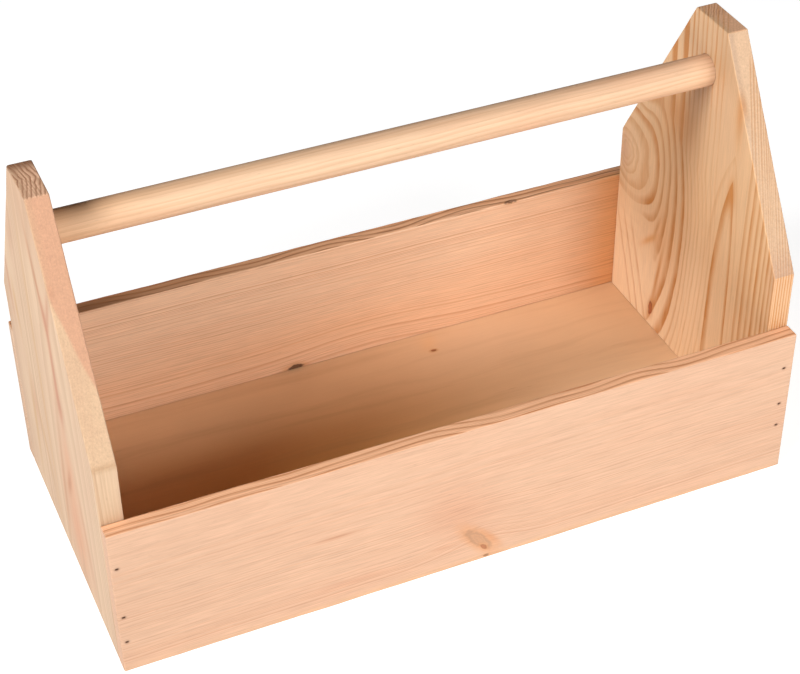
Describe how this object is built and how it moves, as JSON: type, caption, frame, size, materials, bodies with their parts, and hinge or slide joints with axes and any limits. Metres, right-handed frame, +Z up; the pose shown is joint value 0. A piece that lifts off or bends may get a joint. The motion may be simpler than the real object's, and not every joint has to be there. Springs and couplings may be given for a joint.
{
  "type": "carpenter toolbox",
  "caption": "Open wooden tool tote: gabled end panels, nailed side boards, a plywood bottom in grooves and a round dowel handle along the top.",
  "frame": {"origin": "centre of the footprint on the surface the toolbox stands on", "axes": "+X along the handle and the side boards, +Y from the front board to the rear board, +Z up"},
  "size_m": [0.556, 0.27, 0.346],
  "materials": {
    "pine_end_panel": "raw sanded pine, grain upright",
    "pine_side_board": "raw sanded pine, grain lengthwise",
    "plywood": "raw smooth plywood",
    "pine_dowel": "raw turned softwood",
    "brad_steel": "dull dark steel"
  },
  "bodies": {
    "root": {"left_end_panel": "pine_end_panel", "right_end_panel": "pine_end_panel", "front_side_board": "pine_side_board", "rear_side_board": "pine_side_board", "bottom_panel": "plywood", "handle_dowel": "pine_dowel", "front_left_brads": "brad_steel", "front_right_brads": "brad_steel", "rear_left_brads": "brad_steel", "rear_right_brads": "brad_steel"}
  },
  "joints": []
}
